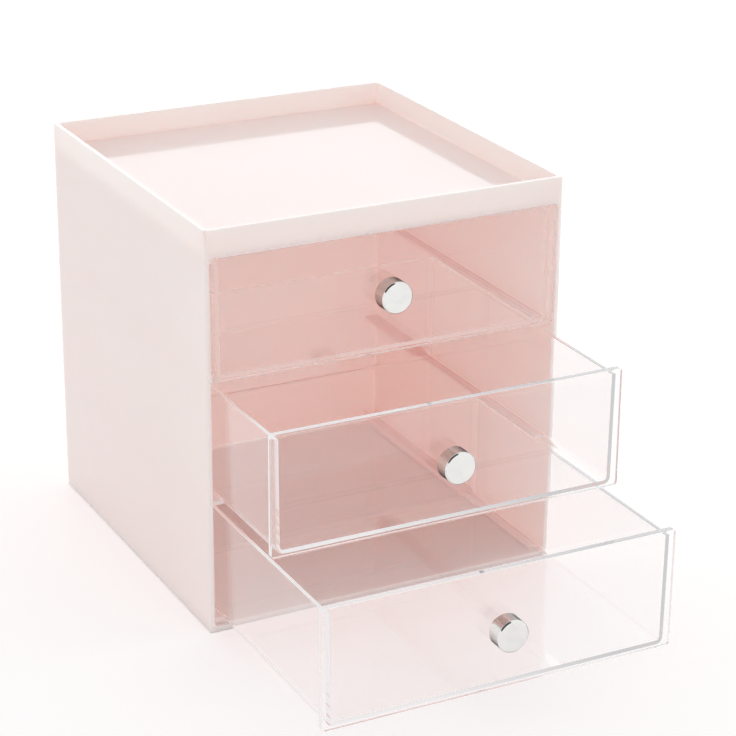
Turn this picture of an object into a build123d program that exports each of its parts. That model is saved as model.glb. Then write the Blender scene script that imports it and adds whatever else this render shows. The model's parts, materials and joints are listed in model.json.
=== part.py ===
from build123d import *
from math import radians, tan
import os

# Makeup storage case with a tray on top and three clear drawers.
# Millimetres, +Z up, front towards -Y, origin at the middle of the underside of the case.

# Case
case_width = 170.0
case_depth = 174.0
case_height = 183.0
side_wall = 2.2
back_wall = 2.2
base_thickness = 2.5
case_corner_radius = 1.3
case_edge_bevel = 0.6
opening_corner_radius = 2.0
mouth_edge_bevel = 0.4

# Tray on top
tray_depth = 10.0
tray_panel = 2.0
tray_rim = 2.0
tray_corner_radius = 2.5
tray_floor_radius = 1.2
tray_draft = 1.0  # degrees

# Rails that carry the drawers
rail_reach = 6.5
rail_thickness = 2.0
rail_edge_radius = 0.5
rail_nose = 1.2  # length of the slope at the front end
running_gap = 0.15  # under each drawer
stop_gap = 0.2  # between a closed drawer's front plate and the ends of the rails

# Gaps around the front plates
plate_side_gap = 0.5
plate_gap = 1.1
top_gap = 0.5
floor_gap = 2.0

# Drawers
plate_thickness = 3.0
plate_corner_radius = 1.8
plate_edge_bevel = 0.4
tub_inset = 2.3  # from the plate's side edge to the tub's rim
tub_wall = 1.8
tub_floor = 1.8
tub_lift = 0.8  # from the plate's bottom edge to the tub's underside
tub_drop = 2.8  # from the plate's top edge to the tub's rim
tub_draft = 0.5  # degrees
tub_corner_radius = 4.0
tub_bottom_radius = 3.2
tub_rear_gap = 6.0  # from a closed drawer to the back wall
rim_edge_bevel = 0.3

# Knobs
knob_diameter = 14.5
knob_length = 8.2
knob_bevel = 0.6
knob_foot_diameter = 11.5
knob_foot_height = 0.8

# Screws
screw_diameter = 4.0
screw_fit = 0.05  # radial, in the plate and in the knob
screw_reach = 5.5  # into the knob
screw_tip_gap = 0.8
screw_head_diameter = 8.0
screw_head_height = 2.2
screw_head_bevel = 0.9
bore_chamfer = 0.3
slot_width = 1.0
slot_length = 4.4
slot_depth = 1.2

# How far each drawer is pulled out, from the bottom one up
drawer_pulls = {"bottom": 103.0, "middle": 57.0, "top": 0.0}

# Worked out from the sizes above
front_y = -case_depth / 2
inner_back_y = case_depth / 2 - back_wall
tray_floor_z = case_height - tray_depth
opening_top_z = tray_floor_z - tray_panel
opening_width = case_width - 2 * side_wall
opening_height = opening_top_z - base_thickness
drawer_count = len(drawer_pulls)
plate_width = opening_width - 2 * plate_side_gap
plates_height = opening_height - floor_gap - top_gap - (drawer_count - 1) * plate_gap
plate_height = plates_height / drawer_count
plate_pitch = plate_height + plate_gap
first_plate_z = base_thickness + floor_gap
tub_width = plate_width - 2 * tub_inset
tub_height = plate_height - tub_lift - tub_drop
tub_front_y = front_y + plate_thickness
tub_rear_y = inner_back_y - tub_rear_gap
rail_front_y = tub_front_y + stop_gap
shank_radius = screw_diameter / 2
bore_radius = shank_radius + screw_fit


def ahead_of(y, reach):
    """A block that fills everything in front of the plane at y."""
    return Pos(0, y - reach / 2, 0) * Box(reach, reach, reach)


def drawer_cavity():
    """The hollow behind the opening."""
    outline = RectangleRounded(opening_width, opening_height, opening_corner_radius)
    hollow = extrude(Plane.XZ * outline, amount=front_y - inner_back_y)
    return Pos(0, front_y, base_thickness + opening_height / 2) * hollow


def rail(level, thickness, side):
    """One moulded ledge along a side wall, its top at the given height and its front end sloped."""
    inner_x = opening_width / 2 - rail_reach
    outer_x = case_width / 2 - side_wall / 2
    rear_y = inner_back_y + back_wall / 2
    profile = Polyline(
        (rail_front_y, level - thickness),
        (rear_y, level - thickness),
        (rear_y, level),
        (rail_front_y + rail_nose, level),
        (rail_front_y, level - rail_nose / 2),
        close=True,
    )
    ledge = extrude(Plane.YZ * make_face(profile), amount=outer_x - inner_x)
    ledge = fillet(ledge.edges().filter_by(Axis.Y).group_by(Axis.X)[0], rail_edge_radius)
    ledge = Pos(inner_x, 0, 0) * ledge
    return ledge if side > 0 else mirror(ledge, about=Plane.YZ)


def tray_recess():
    """The hollow of the tray, wider at its rim than at its floor."""
    width = case_width - 2 * tray_rim
    depth = case_depth - 2 * tray_rim
    rim_outline = Pos(0, 0, case_height) * RectangleRounded(width, depth, tray_corner_radius)
    hollow = extrude(rim_outline, amount=-tray_depth, taper=tray_draft)
    return fillet(hollow.faces().sort_by(Axis.Z)[0].edges(), tray_floor_radius)


def case_shell():
    """The whole case in one moulding: walls, back, base, tray and drawer rails."""
    block = Box(case_width, case_depth, case_height, align=(Align.CENTER, Align.CENTER, Align.MIN))
    block = fillet(block.edges().filter_by(Axis.Z), case_corner_radius)
    block = chamfer(block.faces().sort_by(Axis.Z)[0].edges(), case_edge_bevel)
    shell = block - drawer_cavity() - tray_recess()
    rim_edges = shell.faces().filter_by(Axis.Z).sort_by(Axis.Z)[-1].edges()
    shell = chamfer(rim_edges, case_edge_bevel)
    mouth = shell.faces().sort_by(Axis.Y)[0].inner_wires()[0]
    shell = chamfer(mouth.edges(), mouth_edge_bevel)
    for number in range(drawer_count):
        level = first_plate_z + number * plate_pitch + tub_lift - running_gap
        thickness = rail_thickness if number else level - base_thickness / 2
        shell += [rail(level, thickness, side) for side in (-1, 1)]
    return shell


def tub_outline(height, spread):
    """The tub's outline at its rim, wider by the spread all round and run on past the front plate."""
    length = tub_rear_y - tub_front_y + 4 * tub_corner_radius
    outline = RectangleRounded(tub_width + 2 * spread, length + 2 * spread, tub_corner_radius + spread)
    return Pos(0, tub_rear_y - length / 2, height) * outline


def tub_block(inset, floor, extra_top):
    """The outside of a drawer's tub, or with an inset its hollow, behind the front plate."""
    height = tub_height - floor
    floor_outline = tub_outline(floor, -inset - height * tan(radians(tub_draft)))
    block = extrude(floor_outline, amount=height + extra_top, taper=-tub_draft)
    block = fillet(block.faces().sort_by(Axis.Z)[0].edges(), tub_bottom_radius - inset)
    return block - ahead_of(tub_front_y, 2 * case_width)


def rim_cut():
    """What the bevels take off the tub's rim, outside and inside."""
    deep = 2 * rim_edge_bevel
    slab = Pos(0, 0, tub_height - deep / 2) * Box(2 * case_width, 2 * case_depth, deep)
    kept = extrude(tub_outline(tub_height, -rim_edge_bevel), amount=-deep, taper=-45)
    flare = extrude(tub_outline(tub_height, rim_edge_bevel - tub_wall), amount=-deep, taper=45)
    return slab - kept + flare


def drawer():
    """A closed drawer with the middle of its plate's bottom edge over the X axis."""
    plate = extrude(Plane.XZ * RectangleRounded(plate_width, plate_height, plate_corner_radius),
                    amount=-plate_thickness)
    plate = Pos(0, front_y, plate_height / 2) * plate
    plate = chamfer(plate.faces().sort_by(Axis.Y)[0].edges(), plate_edge_bevel)
    tub = tub_block(0, 0, 0) - tub_block(tub_wall, tub_floor, tub_drop) - rim_cut()
    body = plate + Pos(0, 0, tub_lift) * tub
    hole = extrude(Plane.XZ * Circle(bore_radius), amount=plate_thickness, both=True)
    return body - Pos(0, front_y, plate_height / 2) * hole


def knob():
    """A turned knob, its foot on the XZ plane and its bevelled face towards -Y."""
    radius = knob_diameter / 2
    foot = knob_foot_diameter / 2
    bore_end = screw_reach + screw_tip_gap
    profile = Polyline(
        (0, bore_end),
        (bore_radius, bore_end),
        (bore_radius, bore_chamfer),
        (bore_radius + bore_chamfer, 0),
        (foot, 0),
        (foot, knob_foot_height),
        (radius, knob_foot_height),
        (radius, knob_length - knob_bevel),
        (radius - knob_bevel, knob_length),
        (0, knob_length),
        close=True,
    )
    turned = revolve(make_face(profile), axis=Axis.Y)
    return Rot(0, 0, 180) * turned


def screw():
    """A pan head screw, the underside of its head on the XZ plane and its shank towards -Y."""
    head = extrude(Plane.XZ * Circle(screw_head_diameter / 2), amount=-screw_head_height)
    head = chamfer(head.edges().sort_by(Axis.Y)[-1], screw_head_bevel)
    for turn in (0, 90):
        slot = Box(slot_length, 2 * slot_depth, slot_width)
        head -= Pos(0, screw_head_height, 0) * Rot(0, turn, 0) * slot
    shank = extrude(Plane.XZ * Circle(shank_radius), amount=plate_thickness + screw_reach)
    return head + shank


def assembly():
    """Every node by name, each in its place."""
    nodes = {"case_shell": case_shell()}
    one_drawer = drawer()
    one_knob = knob()
    one_screw = screw()
    for number, (name, pull) in enumerate(drawer_pulls.items()):
        plate_z = first_plate_z + number * plate_pitch
        centre_z = plate_z + plate_height / 2
        nodes[f"drawer_{name}"] = Pos(0, -pull, plate_z) * one_drawer
        nodes[f"knob_{name}"] = Pos(0, front_y - pull, centre_z) * one_knob
        nodes[f"screw_{name}"] = Pos(0, tub_front_y - pull, centre_z) * one_screw
    return nodes


os.makedirs("parts", exist_ok=True)
for node_name, shape in assembly().items():
    export_step(shape, f"parts/{node_name}.step")
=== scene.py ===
import json
from math import cos, pi, radians, sin, tan

import bmesh
import bpy
from mathutils import Matrix, Vector

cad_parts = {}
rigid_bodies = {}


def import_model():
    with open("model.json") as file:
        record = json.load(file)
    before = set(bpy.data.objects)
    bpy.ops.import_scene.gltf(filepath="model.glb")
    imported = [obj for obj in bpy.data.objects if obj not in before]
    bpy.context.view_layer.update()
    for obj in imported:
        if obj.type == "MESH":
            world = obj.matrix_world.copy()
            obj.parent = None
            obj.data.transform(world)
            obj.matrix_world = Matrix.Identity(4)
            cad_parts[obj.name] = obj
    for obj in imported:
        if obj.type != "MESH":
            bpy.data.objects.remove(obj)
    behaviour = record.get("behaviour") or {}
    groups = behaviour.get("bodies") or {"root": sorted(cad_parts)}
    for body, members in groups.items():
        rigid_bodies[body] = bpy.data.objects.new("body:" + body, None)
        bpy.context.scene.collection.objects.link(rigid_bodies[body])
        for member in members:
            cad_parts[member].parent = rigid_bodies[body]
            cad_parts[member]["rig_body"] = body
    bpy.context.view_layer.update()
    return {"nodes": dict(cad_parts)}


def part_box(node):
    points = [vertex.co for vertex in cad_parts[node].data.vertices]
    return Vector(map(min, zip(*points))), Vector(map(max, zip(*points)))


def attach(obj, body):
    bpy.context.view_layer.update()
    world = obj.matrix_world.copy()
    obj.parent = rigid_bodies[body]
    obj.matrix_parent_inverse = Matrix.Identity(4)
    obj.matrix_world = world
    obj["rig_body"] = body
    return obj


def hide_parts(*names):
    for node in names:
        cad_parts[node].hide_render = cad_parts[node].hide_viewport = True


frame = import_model()

# Makeup storage case with a tray on top and three clear drawers.
# The pieces are shaped in millimetres and brought to metres when they are finished.
MM = 0.001

# Case moulding
SIDE_WALL = 2.2
BACK_WALL = 2.2
BASE_THICKNESS = 2.5
CASE_CORNER = 1.3
CASE_EDGE = 0.6
OPENING_CORNER = 2.0
MOUTH_EDGE = 0.4
BACK_EDGE = 0.5
TRAY_DEPTH = 10.0
TRAY_PANEL = 2.0
TRAY_RIM = 2.0
TRAY_CORNER = 2.5
TRAY_FLOOR_RADIUS = 1.2
TRAY_DRAFT = radians(1.0)

# Rails
RAIL_REACH = 6.5
RAIL_THICKNESS = 2.0
RAIL_EDGE = 0.5
RAIL_NOSE = 1.2
RAIL_SET_BACK = 3.2  # from the case's front, which leaves room for a closed plate
RUNNING_GAP = 0.15  # under each drawer

# Drawers
PLATE_THICKNESS = 3.0
PLATE_CORNER = 1.8
PLATE_EDGE = 0.4
TUB_INSET = 2.3
TUB_WALL = 1.8
TUB_FLOOR = 1.8
TUB_LIFT = 0.8
TUB_DROP = 2.8
TUB_DRAFT = radians(0.5)
TUB_CORNER = 4.0
TUB_BOTTOM = 3.2
RIM_EDGE = 0.3
TUB_JOIN = 0.2  # how far the tub's hollow starts inside the plate

# Knobs and screws
KNOB_RADIUS = 7.25
KNOB_LENGTH = 8.2
KNOB_BEVEL = 0.6
KNOB_FOOT_RADIUS = 5.75
KNOB_FOOT = 0.8
BORE_RADIUS = 2.05
BORE_DEPTH = 6.3
TURNED_EDGE = 0.12
SHANK_RADIUS = 2.0
SHANK_REACH = 8.5  # through the plate and into the knob
HEAD_RADIUS = 4.0
HEAD_HEIGHT = 2.2
HEAD_CROWN = 0.9
CROSS_WIDTH = 1.0
CROSS_LENGTH = 4.4
CROSS_DEPTH = 1.2
HAIR_GAP = 0.02  # keeps touching metal and clear plastic from sharing one surface

LEVELS = ("bottom", "middle", "top")

# Working values
Y, Z = 1, 2  # which of a corner's coordinates
TOUCH = 0.01  # two places this near are the same place
MARGIN = 1.0  # clearly further on than a given place
WELD = 0.001  # corners this near become one
SHARP = radians(30)  # two faces that meet at a wider angle get a rounding
SHARP_TURNED = radians(20)
SMOOTH = radians(32)  # and below this angle they are shaded as one surface


# ---------------------------------------------------------------- shaping

def millimetres(node):
    """Lowest and highest corner of a CAD node in millimetres."""
    return [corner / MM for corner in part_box(node)]


def block(low, high):
    """A plain block between two corners, to be worked further."""
    low, high = Vector(low), Vector(high)
    shape = bmesh.new()
    place = Matrix.Translation((low + high) / 2) @ Matrix.Diagonal((*(high - low), 1))
    bmesh.ops.create_cube(shape, size=1.0, matrix=place)
    return shape


def face_towards(shape, way):
    """The outermost face that looks one way."""
    way = Vector(way)
    facing = [f for f in shape.faces if f.normal.dot(way) > 0.99]
    return max(facing, key=lambda f: f.calc_center_median().dot(way))


def near(value, target):
    return abs(value - target) < TOUCH


def runs_along(edge, axis):
    first, second = (v.co[axis] for v in edge.verts)
    return not near(first, second)


def edges_with(shape, test, axis=None):
    """The edges whose two ends both pass a test, all of them or those that run along an axis."""
    passed = [e for e in shape.edges if all(test(v.co) for v in e.verts)]
    return passed if axis is None else [e for e in passed if runs_along(e, axis)]


def sharp(edges):
    """Those edges where two faces meet at a clear angle."""
    return [e for e in edges if e.calc_face_angle() > SHARP]


def behind(edges, y):
    """Those edges that reach clearly behind a place."""
    return [e for e in edges if max(v.co.y for v in e.verts) > y + MARGIN]


def round_over(shape, edges, radius, segments):
    bmesh.ops.bevel(shape, geom=edges, offset=radius, offset_type="OFFSET", segments=segments,
                    profile=0.5, affect="EDGES", clamp_overlap=True, material=-1)


def sink(shape, face, move):
    """Pushes one face straight in or out and gives it back."""
    deep = bmesh.ops.extrude_discrete_faces(shape, faces=[face])["faces"][0]
    bmesh.ops.translate(shape, vec=move, verts=deep.verts)
    return deep


def as_object(shape, name):
    mesh = bpy.data.meshes.new(name)
    shape.to_mesh(mesh)
    shape.free()
    piece = bpy.data.objects.new(name, mesh)
    bpy.context.scene.collection.objects.link(piece)
    return piece


def joined(body, others, how):
    """Adds the other shapes to a body, or cuts them out of it."""
    for other in others:
        tool = body.modifiers.new(how.lower(), "BOOLEAN")
        tool.operation = how
        tool.solver = "EXACT"
        tool.object = other
    mesh = bpy.data.meshes.new_from_object(
        body.evaluated_get(bpy.context.evaluated_depsgraph_get()))
    body.modifiers.clear()
    body.data = mesh
    for other in others:
        bpy.data.objects.remove(other)


def finished(piece, node, surface):
    """Brings a piece to metres, smooths its roundings and lets it stand for its CAD node."""
    shape = bmesh.new()
    shape.from_mesh(piece.data)
    bmesh.ops.remove_doubles(shape, verts=shape.verts, dist=WELD)
    bmesh.ops.recalc_face_normals(shape, faces=shape.faces)
    bmesh.ops.scale(shape, vec=(MM, MM, MM), verts=shape.verts)
    for face in shape.faces:
        face.smooth = True
    for edge in shape.edges:
        edge.smooth = len(edge.link_faces) == 2 and edge.calc_face_angle() < SMOOTH
    shape.to_mesh(piece.data)
    shape.free()
    even = piece.modifiers.new("even_normals", "WEIGHTED_NORMAL")
    even.keep_sharp = True
    piece.data.materials.clear()
    piece.data.materials.append(surface)
    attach(piece, frame["nodes"][node]["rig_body"])
    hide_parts(node)


# ---------------------------------------------------------------- the case

def case_body(low, high):
    """Walls, base and tray in one moulding, with its roundings, without the rails."""
    shape = block(low, high)
    opening_side = high.x - SIDE_WALL
    opening_top = high.z - TRAY_DEPTH - TRAY_PANEL
    inner_back = high.y - BACK_WALL
    tray_floor = high.z - TRAY_DEPTH

    mouth = face_towards(shape, (0, -1, 0))
    bmesh.ops.inset_region(shape, faces=[mouth], thickness=SIDE_WALL, use_even_offset=True)
    for corner in mouth.verts:
        corner.co.z = opening_top if corner.co.z > high.z / 2 else BASE_THICKNESS
    sink(shape, mouth, (0, inner_back - low.y, 0))

    rim = face_towards(shape, (0, 0, 1))
    bmesh.ops.inset_region(shape, faces=[rim], thickness=TRAY_RIM, use_even_offset=True)
    floor = sink(shape, rim, (0, 0, -TRAY_DEPTH))
    lean = TRAY_DEPTH * tan(TRAY_DRAFT)
    narrower = (1 - lean / (high.x - TRAY_RIM), 1 - lean / (high.y - TRAY_RIM), 1)
    bmesh.ops.scale(shape, vec=narrower, verts=floor.verts)

    on_rim = 0.75 * TRAY_RIM  # past the case's rounded corners, short of the tray's wall

    def at_corner(p):
        return near(abs(p.x), high.x) and near(abs(p.y), high.y)

    def in_tray(p):
        return (p.z > tray_floor - TOUCH
                and abs(p.x) < high.x - on_rim and abs(p.y) < high.y - on_rim)

    def in_opening(p):
        return abs(p.x) < opening_side + TOUCH and BASE_THICKNESS / 2 < p.z < opening_top + TOUCH

    round_over(shape, edges_with(shape, at_corner, Z), CASE_CORNER, 6)
    round_over(shape, edges_with(shape, in_tray, Z), TRAY_CORNER, 8)
    round_over(shape, edges_with(shape, in_opening, Y), OPENING_CORNER, 8)
    round_over(shape, edges_with(shape, lambda p: in_tray(p) and near(p.z, tray_floor)),
               TRAY_FLOOR_RADIUS, 6)
    round_over(shape, edges_with(shape, lambda p: in_opening(p) and near(p.y, inner_back)),
               BACK_EDGE, 4)
    round_over(shape, edges_with(shape, lambda p: in_opening(p) and near(p.y, low.y)),
               MOUTH_EDGE, 4)
    round_over(shape, sharp(edges_with(shape, lambda p: near(p.z, high.z))), CASE_EDGE, 4)
    round_over(shape, sharp(edges_with(shape, lambda p: near(p.z, low.z))), CASE_EDGE, 4)
    return as_object(shape, "case_moulding")


def rail(low, high, number, side):
    """One ledge along a side wall, with a slope at its front end."""
    level = millimetres(f"drawer_{LEVELS[number]}")[0].z + TUB_LIFT - RUNNING_GAP
    under = level - RAIL_THICKNESS if number else BASE_THICKNESS / 2
    inner, outer = high.x - SIDE_WALL - RAIL_REACH, high.x - SIDE_WALL / 2
    front = low.y + RAIL_SET_BACK
    across = (inner, outer) if side > 0 else (-outer, -inner)
    shape = block((across[0], front, under), (across[1], high.y - BACK_WALL / 2, level))
    bmesh.ops.bisect_plane(shape, geom=shape.verts[:] + shape.edges[:] + shape.faces[:],
                           plane_co=(0, front + RAIL_NOSE, 0), plane_no=(0, 1, 0))
    for corner in shape.verts:
        if near(corner.co.y, front) and near(corner.co.z, level):
            corner.co.z -= RAIL_NOSE / 2
    long_edges = edges_with(shape, lambda p: near(abs(p.x), inner), Y)
    round_over(shape, sharp(long_edges), RAIL_EDGE, 4)
    return as_object(shape, "rail")


def case_moulding(surface):
    low, high = millimetres("case_shell")
    body = case_body(low, high)
    rails = [rail(low, high, number, side) for number in range(len(LEVELS)) for side in (-1, 1)]
    joined(body, rails, "UNION")
    finished(body, "case_shell", surface)


# ---------------------------------------------------------------- the drawers

def tub(low, high):
    """The open box behind a front plate, drafted, with rounded corners at its back."""
    side = high.x - TUB_INSET
    bottom, top = low.z + TUB_LIFT, high.z - TUB_DROP
    join = low.y + PLATE_THICKNESS - TUB_JOIN
    front = join - TUB_WALL
    shape = block((-side, front, bottom), (side, high.y, top))
    draft = (top - bottom) * tan(TUB_DRAFT)
    for corner in shape.verts:
        if near(corner.co.z, bottom):
            corner.co.x -= draft if corner.co.x > 0 else -draft
            corner.co.y -= draft if near(corner.co.y, high.y) else 0
    round_over(shape, edges_with(shape, lambda p: p.y > high.y - MARGIN, Z), TUB_CORNER, 12)
    under = edges_with(shape, lambda p: near(p.z, bottom))
    round_over(shape, behind(under, front), TUB_BOTTOM, 10)

    mouth = face_towards(shape, (0, 0, 1))
    bmesh.ops.inset_region(shape, faces=[mouth], thickness=TUB_WALL, use_even_offset=True)
    floor = sink(shape, mouth, (0, 0, bottom + TUB_FLOOR - top))
    inner_side, inner_back = side - TUB_WALL, high.y - TUB_WALL
    centre = Matrix.Translation((0, -join, 0))
    narrower = (1 - draft / inner_side, 1 - draft / (inner_back - join), 1)
    bmesh.ops.scale(shape, vec=narrower, verts=floor.verts, space=centre)
    round_over(shape, behind(floor.edges, join), TUB_BOTTOM - TUB_WALL, 8)
    rim = edges_with(shape, lambda p: near(p.z, top))
    round_over(shape, behind(sharp(rim), join), RIM_EDGE, 3)
    return as_object(shape, "tub")


def front_plate(low, high, name):
    """The flat front with rounded corners and softened edges."""
    shape = block(low, (high.x, low.y + PLATE_THICKNESS, high.z))
    corners = [e for e in shape.edges if runs_along(e, Y)]
    round_over(shape, corners, PLATE_CORNER, 8)
    around = [e for e in shape.edges if not runs_along(e, Y)]
    round_over(shape, around, PLATE_EDGE, 4)
    return as_object(shape, name)


def drill(centre, radius, front, back):
    """A round bar along Y, to cut a hole with."""
    shape = bmesh.new()
    middle = Matrix.Translation((centre.x, (front + back) / 2, centre.z))
    bmesh.ops.create_cone(shape, cap_ends=True, segments=64, radius1=radius, radius2=radius,
                          depth=back - front, matrix=middle @ Matrix.Rotation(pi / 2, 4, "X"))
    return as_object(shape, "drill")


def drawer_moulding(level, surface):
    node = f"drawer_{level}"
    low, high = millimetres(node)
    plate = front_plate(low, high, f"{node}_moulding")
    joined(plate, [tub(low, high)], "UNION")
    middle = Vector((0, 0, (low.z + high.z) / 2))
    bar = drill(middle, BORE_RADIUS, low.y - MARGIN, low.y + PLATE_THICKNESS + MARGIN)
    joined(plate, [bar], "DIFFERENCE")
    finished(plate, node, surface)


# ---------------------------------------------------------------- knobs and screws

def turned(name, outline, front, height, steps=96):
    """A turned part from the radius and depth of each corner of its outline."""
    shape = bmesh.new()
    corners = [shape.verts.new((radius, front + depth, height)) for radius, depth in outline]
    for first, second in zip(corners, corners[1:]):
        shape.edges.new((first, second))
    bmesh.ops.spin(shape, geom=shape.verts[:] + shape.edges[:], cent=(0, front, height),
                   axis=(0, 1, 0), dvec=(0, 0, 0), angle=2 * pi, steps=steps, use_merge=True)
    bmesh.ops.remove_doubles(shape, verts=shape.verts, dist=WELD / 2)
    bmesh.ops.recalc_face_normals(shape, faces=shape.faces)
    around = [e for e in shape.edges
              if len(e.link_faces) == 2 and e.calc_face_angle() > SHARP_TURNED]
    round_over(shape, around, TURNED_EDGE, 4)
    return as_object(shape, name)


def knob_turned(level, surface):
    node = f"knob_{level}"
    low, high = millimetres(node)
    bore_end = KNOB_LENGTH - BORE_DEPTH
    outline = [
        (0, 0),
        (KNOB_RADIUS - KNOB_BEVEL, 0),
        (KNOB_RADIUS, KNOB_BEVEL),
        (KNOB_RADIUS, KNOB_LENGTH - KNOB_FOOT),
        (KNOB_FOOT_RADIUS, KNOB_LENGTH - KNOB_FOOT),
        (KNOB_FOOT_RADIUS, KNOB_LENGTH - HAIR_GAP),
        (BORE_RADIUS, KNOB_LENGTH - HAIR_GAP),
        (BORE_RADIUS, bore_end),
        (0, bore_end),
    ]
    piece = turned(f"{node}_turned", outline, low.y, (low.z + high.z) / 2)
    finished(piece, node, surface)


def screw_pan_head(level, surface):
    node = f"screw_{level}"
    low, high = millimetres(node)
    height = (low.z + high.z) / 2
    seat = SHANK_REACH + HAIR_GAP
    crown = SHANK_REACH + HEAD_HEIGHT
    shoulder = HEAD_CROWN * 0.3
    outline = [
        (0, 0),
        (SHANK_RADIUS, 0),
        (SHANK_RADIUS, seat),
        (HEAD_RADIUS, seat),
        (HEAD_RADIUS, crown - HEAD_CROWN),
        (HEAD_RADIUS - shoulder, crown - shoulder),
        (HEAD_RADIUS - HEAD_CROWN, crown),
        (0, crown),
    ]
    piece = turned(f"{node}_pan_head", outline, low.y, height, steps=64)
    top = low.y + crown
    cross = []
    for width, tall in ((CROSS_LENGTH, CROSS_WIDTH), (CROSS_WIDTH, CROSS_LENGTH)):
        slot = block((-width / 2, top - CROSS_DEPTH, height - tall / 2),
                     (width / 2, top + MARGIN, height + tall / 2))
        cross.append(as_object(slot, "slot"))
    joined(piece, cross, "DIFFERENCE")
    finished(piece, node, surface)


# ---------------------------------------------------------------- shared surface effects

def effect_group(name, inputs, outputs):
    """An empty node group with named sockets, its input node and its output node."""
    group = bpy.data.node_groups.new(name, "ShaderNodeTree")
    for label, kind, value in inputs:
        socket = group.interface.new_socket(label, in_out="INPUT", socket_type=kind)
        socket.default_value = value
    for label, kind in outputs:
        group.interface.new_socket(label, in_out="OUTPUT", socket_type=kind)
    return group, group.nodes.new("NodeGroupInput"), group.nodes.new("NodeGroupOutput")


def add_node(tree, kind, inputs=None, **settings):
    """A node with its settings, and with links or plain values for its inputs."""
    node = tree.nodes.new(kind)
    for key, value in settings.items():
        setattr(node, key, value)
    for socket, source in (inputs or {}).items():
        if isinstance(source, bpy.types.NodeSocket):
            tree.links.new(source, node.inputs[socket])
        else:
            node.inputs[socket].default_value = source
    return node


def ranged(tree, value, low, high, to_low=0.0, to_high=1.0):
    """A value moved from one range to another, held inside it."""
    scale = add_node(tree, "ShaderNodeMapRange",
                     {"Value": value, "From Min": low, "From Max": high,
                      "To Min": to_low, "To Max": to_high})
    return scale.outputs["Result"]


def maths(tree, operation, first, second):
    return add_node(tree, "ShaderNodeMath", {0: first, 1: second}, operation=operation).outputs[0]


FLOAT, VECTOR = "NodeSocketFloat", "NodeSocketVector"
WHITE = (1, 1, 1, 1)
SCRATCH_LAYS = ((0.5, (1.0, 0.04, 0.3)), (-0.9, (0.05, 1.0, 0.35)))  # turn and stretch of each


def handling_wear():
    """Fine scratches in two directions, fingerprint haze and dust specks."""
    group, given, result = effect_group(
        "handling_wear",
        [("Position", VECTOR, (0, 0, 0)), ("Scratch Scale", FLOAT, 400.0),
         ("Haze Scale", FLOAT, 18.0)],
        [("Scratches", FLOAT), ("Haze", FLOAT), ("Dust", FLOAT)])
    scratches = None
    for turn, stretch in SCRATCH_LAYS:
        lay = add_node(group, "ShaderNodeMapping",
                       {"Vector": given.outputs["Position"],
                        "Rotation": (0.3, turn, turn), "Scale": stretch})
        lines = add_node(group, "ShaderNodeTexNoise",
                         {"Vector": lay.outputs[0], "Scale": given.outputs["Scratch Scale"],
                          "Detail": 3.0, "Roughness": 0.6})
        thin = ranged(group, lines.outputs["Fac"], 0.66, 0.74)
        scratches = thin if scratches is None else maths(group, "MAXIMUM", scratches, thin)
    haze = add_node(group, "ShaderNodeTexNoise",
                    {"Vector": given.outputs["Position"], "Scale": given.outputs["Haze Scale"],
                     "Detail": 4.0, "Roughness": 0.55, "Distortion": 0.6})
    patches = ranged(group, haze.outputs["Fac"], 0.42, 0.68)
    broken = maths(group, "MULTIPLY", scratches, ranged(group, haze.outputs["Fac"], 0.45, 0.6))
    specks = add_node(group, "ShaderNodeTexVoronoi",
                      {"Vector": given.outputs["Position"], "Scale": 260.0, "Randomness": 1.0})
    dust = ranged(group, specks.outputs["Distance"], 0.055, 0.03)
    group.links.new(broken, result.inputs["Scratches"])
    group.links.new(patches, result.inputs["Haze"])
    group.links.new(dust, result.inputs["Dust"])
    return group


def painted_edge_mask():
    """A mask for painted highlights and painted shade: 1 along edges and roundings, 0 on flat faces."""
    group, given, result = effect_group(
        "painted_edge_mask", [("Width", FLOAT, 0.001)], [("Mask", FLOAT)])
    rounded = add_node(group, "ShaderNodeBevel", {"Radius": given.outputs["Width"]}, samples=4)
    facing = add_node(group, "ShaderNodeNewGeometry")
    same = add_node(group, "ShaderNodeVectorMath",
                    {0: rounded.outputs["Normal"], 1: facing.outputs["Normal"]},
                    operation="DOT_PRODUCT")
    group.links.new(ranged(group, same.outputs["Value"], 1.0, 0.85), result.inputs["Mask"])
    return group


def mould_flow():
    """Slow unevenness that a moulded wall shows: tone, and the waviness of its surface."""
    group, given, result = effect_group(
        "mould_flow", [("Position", VECTOR, (0, 0, 0)), ("Flow Scale", FLOAT, 9.0)],
        [("Tone", FLOAT), ("Waviness", FLOAT), ("Grain", FLOAT)])
    drawn = add_node(group, "ShaderNodeMapping",
                     {"Vector": given.outputs["Position"], "Scale": (1.0, 0.55, 0.8)})
    slow = add_node(group, "ShaderNodeTexNoise",
                    {"Vector": drawn.outputs[0], "Scale": given.outputs["Flow Scale"],
                     "Detail": 2.0, "Roughness": 0.4, "Distortion": 0.8})
    wide = add_node(group, "ShaderNodeTexNoise",
                    {"Vector": given.outputs["Position"], "Scale": 28.0, "Detail": 1.0})
    fine = add_node(group, "ShaderNodeTexNoise",
                    {"Vector": given.outputs["Position"], "Scale": 1500.0, "Detail": 2.0})
    group.links.new(ranged(group, slow.outputs["Fac"], 0.3, 0.7), result.inputs["Tone"])
    group.links.new(wide.outputs["Fac"], result.inputs["Waviness"])
    group.links.new(fine.outputs["Fac"], result.inputs["Grain"])
    return group


HANDLING_WEAR = handling_wear()
PAINTED_EDGE_MASK = painted_edge_mask()
MOULD_FLOW = mould_flow()


def new_surface(name):
    """A material with an empty tree, its output and the object's own coordinates."""
    surface = bpy.data.materials.new(name)
    surface.use_nodes = True
    tree = surface.node_tree
    tree.nodes.clear()
    output = add_node(tree, "ShaderNodeOutputMaterial")
    place = add_node(tree, "ShaderNodeTexCoord").outputs["Object"]
    return surface, tree, output, place


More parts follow.
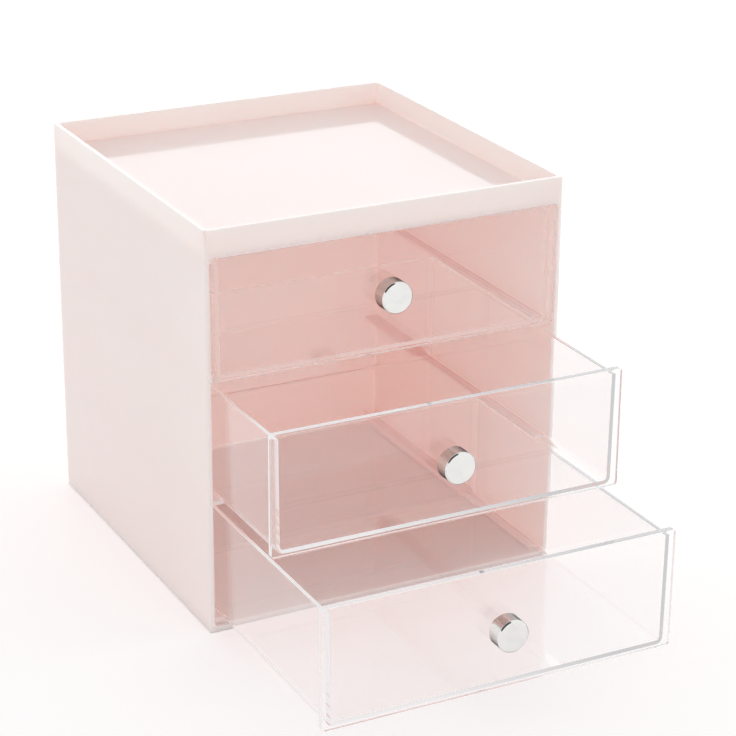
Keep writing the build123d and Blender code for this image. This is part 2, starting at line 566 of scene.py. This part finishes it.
def effect(tree, group, inputs):
    """One of the shared effects with this material's own values."""
    return add_node(tree, "ShaderNodeGroup", inputs, node_tree=group).outputs


def mixed(tree, factor, first, second):
    """Two colours mixed by a mask."""
    node = add_node(tree, "ShaderNodeMix", {0: factor, 6: first, 7: second}, data_type="RGBA")
    return node.outputs[2]


def tinted(tree, tone, mask, strength, tint):
    """A colour with some of another one where the mask says so."""
    return mixed(tree, maths(tree, "MULTIPLY", mask, strength), tone, tint)


def worn_roughness(tree, wear, clean, hazy, scratched):
    """Roughness from clean to hazy, with more of it in the scratches."""
    return maths(tree, "ADD", ranged(tree, wear["Haze"], 0.0, 1.0, clean, hazy),
                 maths(tree, "MULTIPLY", wear["Scratches"], scratched))


def bumped(tree, height, distance, normal=None):
    """The normal of a surface with a relief, on top of an earlier one if there is one."""
    inputs = {"Height": height, "Distance": distance, "Strength": 1.0}
    if normal is not None:
        inputs["Normal"] = normal
    return add_node(tree, "ShaderNodeBump", inputs).outputs["Normal"]


PINK_DEEP, PINK_PALE = (0.962, 0.775, 0.744, 1), (0.972, 0.791, 0.764, 1)
# painted shade: a deeper pink for edges and roundings, standing in for the deeper colour of light
# passing through more of the plastic there
PAINTED_EDGE_SHADE_PINK = (0.93, 0.70, 0.66, 1)
DUST = (0.93, 0.90, 0.88, 1)


def pink_moulded_plastic():
    surface, tree, output, place = new_surface("pink_moulded_plastic")
    flow = effect(tree, MOULD_FLOW, {"Position": place, "Flow Scale": 9.0})
    wear = effect(tree, HANDLING_WEAR,
                  {"Position": place, "Scratch Scale": 420.0, "Haze Scale": 22.0})
    edges = effect(tree, PAINTED_EDGE_MASK, {"Width": 0.0008})
    tone = mixed(tree, flow["Tone"], PINK_DEEP, PINK_PALE)
    # painted shade: a deeper pink along edges and roundings
    tone = tinted(tree, tone, edges["Mask"], 0.25, PAINTED_EDGE_SHADE_PINK)
    tone = tinted(tree, tone, wear["Dust"], 0.10, DUST)
    rough = worn_roughness(tree, wear, 0.11, 0.17, 0.10)
    normal = bumped(tree, flow["Waviness"], 0.00015)
    normal = bumped(tree, flow["Grain"], 0.000001, normal=normal)
    normal = bumped(tree, wear["Scratches"], -0.000004, normal=normal)
    skin = add_node(tree, "ShaderNodeBsdfPrincipled",
                    {"Base Color": tone, "Roughness": rough, "Normal": normal, "IOR": 1.59,
                     "Coat Weight": 0.5, "Coat Roughness": 0.04, "Subsurface Weight": 1.0,
                     "Subsurface Radius": (1.0, 0.80, 0.75), "Subsurface Scale": 0.007})
    tree.links.new(skin.outputs[0], output.inputs["Surface"])
    return surface


CLEAR_COOL = (0.992, 0.995, 0.996, 1)
PAINTED_GLOW_AFTER_BOUNCES = 8  # past this many bounces a clear wall shows a painted glow, an even emission along its edges that stands in for light caught inside it
PAINTED_PALE_GLOW, PAINTED_GREY_GLOW = (0.85, 0.83, 0.835, 1), (0.60, 0.60, 0.61, 1)  # painted glow colours, from left to right
PAINTED_PINK_GLOW = (0.77, 0.55, 0.51, 1)  # painted glow colour inside the case
GREY_GLOW_FROM, GREY_GLOW_FULL = -0.02, 0.07  # where the painted glow turns grey, in metres to the right of the case's middle
PINK_GLOW_FROM, PINK_GLOW_FULL = -0.004, 0.012  # where the painted glow turns pink, in metres behind the case's mouth


def painted_glow_on_edges(tree):
    """A painted glow, an emission that stands in for light trapped in a clear wall, in a colour that
    goes by where the edge stands, so it changes as a drawer moves.
    """
    point = add_node(tree, "ShaderNodeNewGeometry").outputs["Position"]
    axes = add_node(tree, "ShaderNodeSeparateXYZ", {"Vector": point}).outputs
    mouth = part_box("case_shell")[0].y
    outside = mixed(tree, ranged(tree, axes["X"], GREY_GLOW_FROM, GREY_GLOW_FULL), PAINTED_PALE_GLOW, PAINTED_GREY_GLOW)
    inside = ranged(tree, axes["Y"], mouth + PINK_GLOW_FROM, mouth + PINK_GLOW_FULL)
    around = mixed(tree, inside, outside, PAINTED_PINK_GLOW)
    return add_node(tree, "ShaderNodeEmission", {"Color": around, "Strength": 1.0}).outputs[0]


def clear_moulded_plastic():
    """Clear plastic that lets light and shadow rays straight through, so that the inside is lit, with a
    painted glow for rays that have bounced long inside it.
    """
    surface, tree, output, place = new_surface("clear_moulded_plastic")
    flow = effect(tree, MOULD_FLOW, {"Position": place, "Flow Scale": 14.0})
    wear = effect(tree, HANDLING_WEAR,
                  {"Position": place, "Scratch Scale": 520.0, "Haze Scale": 30.0})
    tint = mixed(tree, flow["Tone"], WHITE, CLEAR_COOL)
    rough = worn_roughness(tree, wear, 0.0, 0.02, 0.06)
    normal = bumped(tree, flow["Waviness"], 0.00003)
    normal = bumped(tree, wear["Scratches"], -0.000003, normal=normal)
    clear = add_node(tree, "ShaderNodeBsdfPrincipled",
                     {"Base Color": tint, "Roughness": rough, "Normal": normal, "IOR": 1.5,
                      "Metallic": 0.0, "Transmission Weight": 1.0})
    through = add_node(tree, "ShaderNodeBsdfTransparent", {"Color": WHITE})
    rays = add_node(tree, "ShaderNodeLightPath").outputs
    passing = maths(tree, "MAXIMUM", rays["Is Shadow Ray"], rays["Is Diffuse Ray"])
    # painted glow: an emission takes the place of the clear shading once a ray has bounced that often
    painted_glow_mask = maths(tree, "GREATER_THAN", rays["Ray Depth"], PAINTED_GLOW_AFTER_BOUNCES)
    lit = add_node(tree, "ShaderNodeMixShader",
                   {0: painted_glow_mask, 1: clear.outputs[0], 2: painted_glow_on_edges(tree)})
    both = add_node(tree, "ShaderNodeMixShader",
                    {0: passing, 1: lit.outputs[0], 2: through.outputs[0]})
    tree.links.new(both.outputs[0], output.inputs["Surface"])
    surface.cycles.emission_sampling = "NONE"
    return surface


CHROME, CHROME_HAZY = (0.84, 0.84, 0.82, 1), (0.80, 0.80, 0.785, 1)
# painted highlight: a lighter colour for the knobs' edges and roundings
PAINTED_EDGE_HIGHLIGHT_CHROME = (0.90, 0.90, 0.90, 1)


def mirror_chrome():
    surface, tree, output, place = new_surface("mirror_chrome")
    wear = effect(tree, HANDLING_WEAR,
                  {"Position": place, "Scratch Scale": 900.0, "Haze Scale": 160.0})
    edges = effect(tree, PAINTED_EDGE_MASK, {"Width": 0.0004})
    tone = mixed(tree, wear["Haze"], CHROME, CHROME_HAZY)
    # painted highlight along edges and roundings
    tone = tinted(tree, tone, edges["Mask"], 0.4, PAINTED_EDGE_HIGHLIGHT_CHROME)
    rough = worn_roughness(tree, wear, 0.035, 0.09, 0.10)
    normal = bumped(tree, wear["Scratches"], -0.000003)
    metal = add_node(tree, "ShaderNodeBsdfPrincipled",
                     {"Base Color": tone, "Roughness": rough, "Normal": normal, "Metallic": 1.0,
                      "Specular Tint": (0.15, 0.15, 0.15, 1)})
    tree.links.new(metal.outputs[0], output.inputs["Surface"])
    return surface


STEEL, STEEL_HAZY = (0.62, 0.63, 0.64, 1), (0.52, 0.53, 0.55, 1)
# painted highlight: a lighter colour for the screw heads' edges and roundings
PAINTED_EDGE_HIGHLIGHT_STEEL = (0.75, 0.75, 0.76, 1)


def plated_steel():
    surface, tree, output, place = new_surface("plated_steel")
    wear = effect(tree, HANDLING_WEAR,
                  {"Position": place, "Scratch Scale": 900.0, "Haze Scale": 220.0})
    edges = effect(tree, PAINTED_EDGE_MASK, {"Width": 0.0003})
    tone = mixed(tree, wear["Haze"], STEEL, STEEL_HAZY)
    # painted highlight along edges and roundings
    tone = tinted(tree, tone, edges["Mask"], 0.5, PAINTED_EDGE_HIGHLIGHT_STEEL)
    rough = ranged(tree, wear["Haze"], 0.0, 1.0, 0.22, 0.36)
    normal = bumped(tree, wear["Scratches"], -0.000006)
    metal = add_node(tree, "ShaderNodeBsdfPrincipled",
                     {"Base Color": tone, "Roughness": rough, "Normal": normal, "Metallic": 1.0})
    tree.links.new(metal.outputs[0], output.inputs["Surface"])
    return surface


# ---------------------------------------------------------------- floor, light and camera

BACKDROP_RAYS = ("Is Camera Ray", "Is Glossy Ray", "Is Transmission Ray")
PAPER_DULL, PAPER_BRIGHT = (0.88, 0.88, 0.88, 1), (0.90, 0.90, 0.90, 1)
FLOOR_HALF, FLOOR_DROP = 6.0, 0.0001  # the paper's half width, and how far it lies under the case
LIFT_NEAR, LIFT_FAR = (0.5, 0.235), (2.0, 0.34)  # metres away, and what it takes to be seen white


def seen_directly(tree):
    """1 for rays that look at the backdrop, by themselves or through metal and glass."""
    rays = add_node(tree, "ShaderNodeLightPath").outputs
    first, second, third = (rays[name] for name in BACKDROP_RAYS)
    return maths(tree, "MAXIMUM", maths(tree, "MAXIMUM", first, second), third)


def studio_floor():
    shape = bmesh.new()
    bmesh.ops.create_grid(shape, x_segments=4, y_segments=4, size=FLOOR_HALF,
                          matrix=Matrix.Translation((0, 0, -FLOOR_DROP)))
    floor = as_object(shape, "studio_floor")
    surface, tree, output, place = new_surface("white_studio_paper")
    fibre = add_node(tree, "ShaderNodeTexNoise", {"Vector": place, "Scale": 900.0, "Detail": 2.0})
    tone = mixed(tree, fibre.outputs["Fac"], PAPER_DULL, PAPER_BRIGHT)
    paper = add_node(tree, "ShaderNodeBsdfDiffuse", {"Color": tone})
    away = add_node(tree, "ShaderNodeVectorMath", {0: place}, operation="LENGTH").outputs["Value"]
    (near_by, near_lift), (far_off, far_lift) = LIFT_NEAR, LIFT_FAR
    strength = ranged(tree, away, near_by, far_off, near_lift, far_lift)
    lifted = maths(tree, "MULTIPLY", seen_directly(tree), strength)
    lift = add_node(tree, "ShaderNodeEmission", {"Color": WHITE, "Strength": lifted})
    both = add_node(tree, "ShaderNodeAddShader", {0: paper.outputs[0], 1: lift.outputs[0]})
    tree.links.new(both.outputs[0], output.inputs["Surface"])
    floor.data.materials.append(surface)


ROOM_LEVEL = 0.755
DARK_ROOM = (0.06, 0.06, 0.06, 1)
DARK_ROOM_WAY = (-0.36, -0.56, 0.75)  # towards the unlit room behind the lamps
DARK_ROOM_RIM = (0.82, 0.85)  # cosines of how far that dark part reaches, and where it is full
LAMP_AIM = Vector((0, 0, 0.09))
# Name, place and size in metres, power in watts, and whether reflections show it
SOFTBOXES = (
    ("front_softbox", (-0.25, -1.60, 0.60), (1.5, 1.0), 1.0, False),
    ("left_softbox", (-1.60, -0.20, 0.50), (1.0, 0.8), 2.0, False),
    ("right_softbox", (1.60, -0.10, 0.45), (1.0, 0.8), 4.6, False),
    ("rear_softbox", (0.20, 1.60, 0.30), (1.2, 0.5), 3.8, False),
    ("back_softbox", (0.68, 1.32, 0.77), (1.6, 0.9), 2.4, True),
)


def white_room():
    """Even light from all sides, white where it is seen, with a dark part for reflections only."""
    world = bpy.data.worlds.new("white_studio")
    bpy.context.scene.world = world
    world.use_nodes = True
    tree = world.node_tree
    tree.nodes.clear()
    room = add_node(tree, "ShaderNodeBackground", {"Color": WHITE, "Strength": ROOM_LEVEL})
    way = add_node(tree, "ShaderNodeTexCoord").outputs["Generated"]
    facing = add_node(tree, "ShaderNodeVectorMath",
                      {0: way, 1: Vector(DARK_ROOM_WAY).normalized()}, operation="DOT_PRODUCT")
    dark = ranged(tree, facing.outputs["Value"], *DARK_ROOM_RIM)
    mirrored = add_node(tree, "ShaderNodeLightPath").outputs["Is Glossy Ray"]
    seen = tinted(tree, WHITE, dark, mirrored, DARK_ROOM)
    backdrop = add_node(tree, "ShaderNodeBackground", {"Color": seen, "Strength": 1.0})
    both = add_node(tree, "ShaderNodeMixShader",
                    {0: seen_directly(tree), 1: room.outputs[0], 2: backdrop.outputs[0]})
    output = add_node(tree, "ShaderNodeOutputWorld")
    tree.links.new(both.outputs[0], output.inputs["Surface"])


def softbox(name, place, size, power, mirrored):
    lamp = bpy.data.lights.new(name, "AREA")
    lamp.shape = "RECTANGLE"
    lamp.size, lamp.size_y = size
    lamp.energy = power
    light = bpy.data.objects.new(name, lamp)
    light.visible_camera = False
    light.visible_glossy = mirrored
    light.visible_transmission = False
    bpy.context.scene.collection.objects.link(light)
    light.location = place
    light.rotation_euler = (LAMP_AIM - Vector(place)).to_track_quat("-Z", "Y").to_euler()


# The photograph's view, from the fit of the case's and plates' corners
VIEW_AZIMUTH, VIEW_ELEVATION, VIEW_ROLL = -0.47723, 0.38257, 0.0084  # radians
VIEW_UNIT = 0.170  # the case's width, in which the fit gives its lengths
VIEW_CENTRE = Vector((0, 0, 0.0915))  # the middle of the case, from where these three are measured
VIEW_ACROSS, VIEW_UP, VIEW_BACK = 0.18322 * VIEW_UNIT, -0.0783 * VIEW_UNIT, 6.60351 * VIEW_UNIT
FOCAL_PIXELS, PHOTOGRAPH_PIXELS = 2431.13, 736
SENSOR_WIDTH = 36.0


def photograph_camera():
    level = cos(VIEW_ELEVATION)
    back = Vector((sin(VIEW_AZIMUTH) * level, -cos(VIEW_AZIMUTH) * level, sin(VIEW_ELEVATION)))
    level_right = Vector((cos(VIEW_AZIMUTH), sin(VIEW_AZIMUTH), 0))
    level_up = back.cross(level_right)
    right = level_right * cos(VIEW_ROLL) + level_up * sin(VIEW_ROLL)
    upward = level_up * cos(VIEW_ROLL) - level_right * sin(VIEW_ROLL)
    stand = VIEW_CENTRE + right * VIEW_ACROSS + upward * VIEW_UP + back * VIEW_BACK
    lens = bpy.data.cameras.new("photograph_camera")
    lens.sensor_width = SENSOR_WIDTH
    lens.sensor_fit = "HORIZONTAL"
    lens.lens = FOCAL_PIXELS / PHOTOGRAPH_PIXELS * SENSOR_WIDTH
    lens.clip_start = 0.01
    camera = bpy.data.objects.new("photograph_camera", lens)
    bpy.context.scene.collection.objects.link(camera)
    turned_to = Matrix((right, upward, back)).transposed().to_4x4()
    camera.matrix_world = Matrix.Translation(stand) @ turned_to
    bpy.context.scene.camera = camera


CLEAR_DEPTH = 96  # bounces that light may make in and between the clear walls
CLEAR_LAYERS = 48  # clear surfaces that shadows pass through
PINK_DEPTH = 20  # bounces from wall to wall, which give the inside its full pink


def light_depth():
    cycles = bpy.context.scene.cycles
    cycles.max_bounces = CLEAR_DEPTH
    cycles.transmission_bounces = CLEAR_DEPTH
    cycles.glossy_bounces = CLEAR_DEPTH
    cycles.diffuse_bounces = PINK_DEPTH
    cycles.transparent_max_bounces = CLEAR_LAYERS
    cycles.caustics_refractive = False
    cycles.caustics_reflective = False


# ---------------------------------------------------------------- the scene

pink = pink_moulded_plastic()
clear = clear_moulded_plastic()
chrome = mirror_chrome()
steel = plated_steel()

case_moulding(pink)
for level in LEVELS:
    drawer_moulding(level, clear)
    knob_turned(level, chrome)
    screw_pan_head(level, steel)

studio_floor()
white_room()
for lamp_values in SOFTBOXES:
    softbox(*lamp_values)
photograph_camera()
light_depth()
bpy.context.scene.view_settings.view_transform = "Standard"
